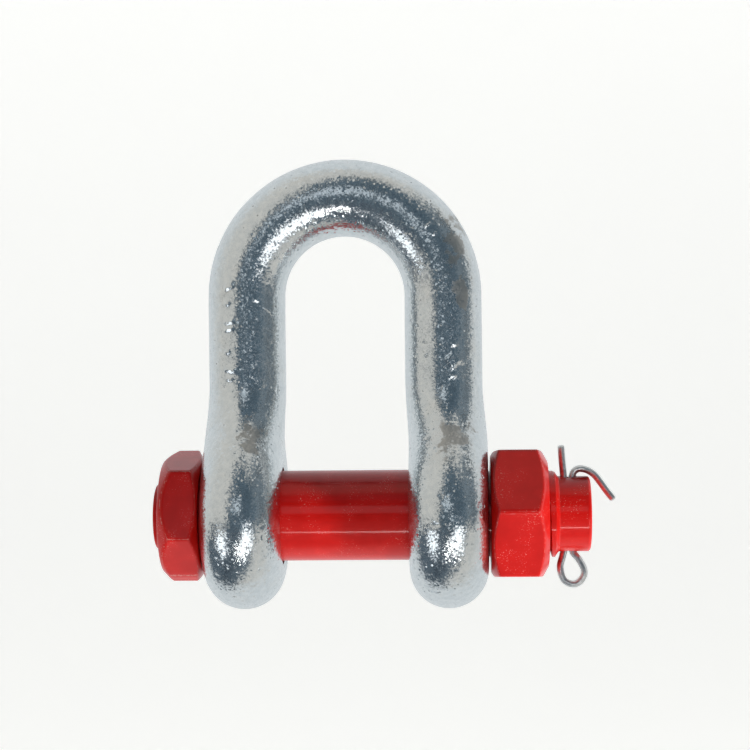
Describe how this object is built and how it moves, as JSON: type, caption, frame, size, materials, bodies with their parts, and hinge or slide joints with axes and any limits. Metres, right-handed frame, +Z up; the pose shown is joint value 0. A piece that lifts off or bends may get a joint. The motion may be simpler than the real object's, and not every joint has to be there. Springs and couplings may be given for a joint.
{
  "type": "dee shackle",
  "caption": "Forged dee shackle with parallel legs, a headed safety bolt through both ears, a hexagon nut and a split pin.",
  "frame": {"origin": "on the bolt's axis, halfway between the two ears", "axes": "+X along the bolt from its head to its nut, +Z up the middle of the D to the crown of the bow, +Y square to the D's plane"},
  "size_m": [0.1119, 0.0456, 0.1098],
  "materials": {
    "zinc_coating": "bright zinc coating over forged steel, slightly grainy",
    "red_paint": "glossy red paint, worn pale along the edges",
    "pin_steel": "plain drawn steel wire"
  },
  "bodies": {
    "body": {"dee_body": "zinc_coating"},
    "bolt": {"bolt": "red_paint"},
    "nut": {"hex_nut": "red_paint"},
    "split_pin": {"split_pin": "pin_steel"}
  },
  "joints": [
    {"name": "bolt_turn", "type": "hinge", "parent": "body", "child": "bolt", "pos_m": [0, 0, 0], "axis": [1, 0, 0], "continuous": true},
    {"name": "nut_turn", "type": "hinge", "parent": "bolt", "child": "nut", "pos_m": [0.04195, 0, 0], "axis": [1, 0, 0], "range_deg": [0, 430]},
    {"name": "split_pin_turn", "type": "hinge", "parent": "bolt", "child": "split_pin", "pos_m": [0.0538, 0, 0], "axis": [0, 0, 1], "range_deg": [-28, 28]}
  ]
}
